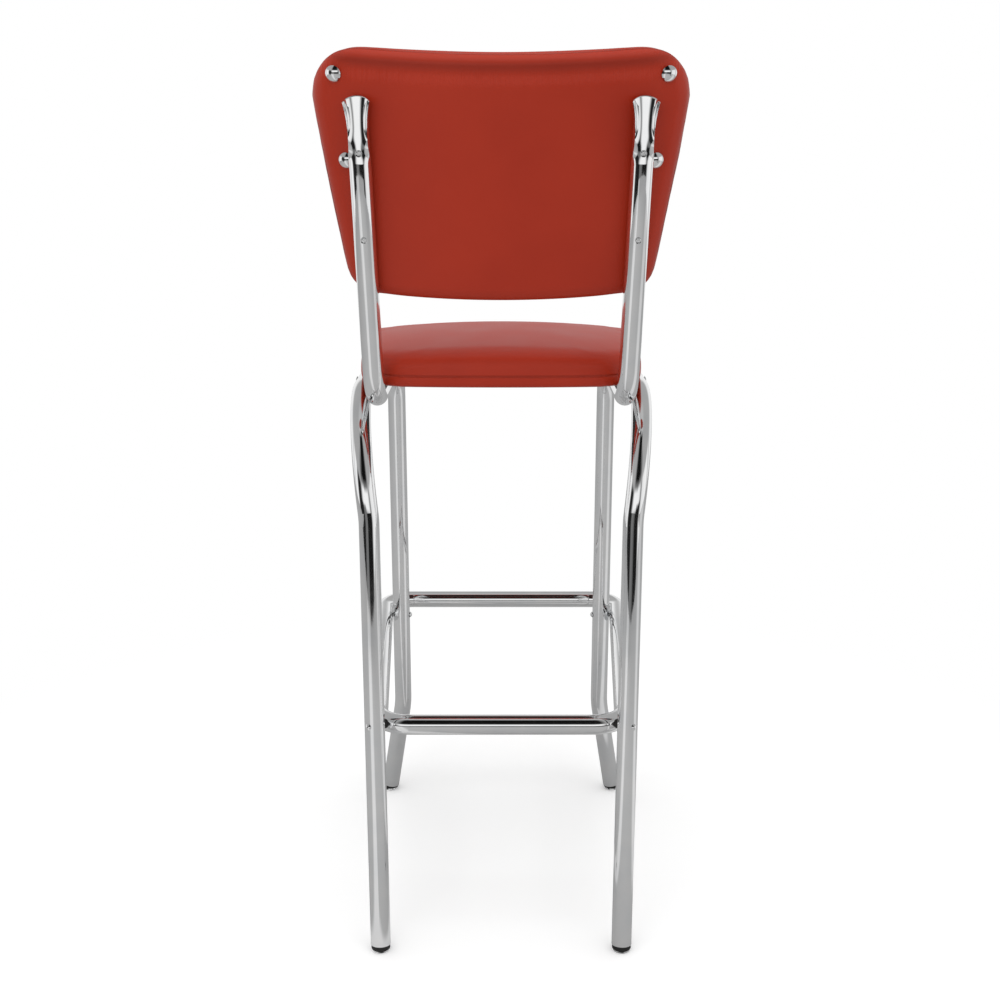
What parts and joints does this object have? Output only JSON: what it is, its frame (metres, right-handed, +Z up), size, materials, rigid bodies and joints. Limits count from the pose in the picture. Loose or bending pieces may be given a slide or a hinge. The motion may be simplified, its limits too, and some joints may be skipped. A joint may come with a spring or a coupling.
{
  "type": "diner counter stool",
  "caption": "High counter stool with a crowned padded seat, a curved padded back on two posts with pressed tops, bent tube legs and a tubular footrest ring.",
  "frame": {"origin": "on the floor, midway between the rear feet and the front of the footrest ring, and midway between left and right", "axes": "+Z up, the sitter faces -Y, so the back pad is on the +Y side and the stool's left is +X"},
  "size_m": [0.4296, 0.5446, 1.1052],
  "materials": {
    "chrome_tube": "bright plated steel tube",
    "chrome_hardware": "bright plated steel screws and caps",
    "zinc_steel": "zinc plated",
    "red_vinyl": "fine grained vinyl cloth with a soft sheen",
    "foam": "cut upholstery foam",
    "plywood": "bare plywood",
    "black_rubber": "moulded rubber"
  },
  "bodies": {
    "root": {"left_frame_tube": "chrome_tube", "left_rear_leg": "chrome_tube", "left_post_screws": "chrome_hardware", "left_rail_bolts": "zinc_steel", "left_rail_nuts": "zinc_steel", "left_footrest_bolt": "chrome_hardware", "left_footrest_cap_nut": "chrome_hardware", "left_footrest_screw": "chrome_hardware", "left_footrest_spacer": "black_rubber", "left_front_glide_insert": "black_rubber", "left_front_glide_cap": "chrome_hardware", "left_rear_glide_insert": "black_rubber", "left_rear_glide_cap": "chrome_hardware", "right_frame_tube": "chrome_tube", "right_rear_leg": "chrome_tube", "right_post_screws": "chrome_hardware", "right_rail_bolts": "zinc_steel", "right_rail_nuts": "zinc_steel", "right_footrest_bolt": "chrome_hardware", "right_footrest_cap_nut": "chrome_hardware", "right_footrest_screw": "chrome_hardware", "right_footrest_spacer": "black_rubber", "right_front_glide_insert": "black_rubber", "right_front_glide_cap": "chrome_hardware", "right_rear_glide_insert": "black_rubber", "right_rear_glide_cap": "chrome_hardware", "footrest_ring": "chrome_tube", "seat_board": "plywood", "seat_foam": "foam", "seat_cover": "red_vinyl", "seat_bolts": "zinc_steel", "seat_tee_nuts": "zinc_steel", "back_board": "plywood", "back_front_foam": "foam", "back_rear_foam": "foam", "back_front_cover": "red_vinyl", "back_rear_cover": "red_vinyl", "back_dome_screws": "chrome_hardware"}
  },
  "joints": []
}
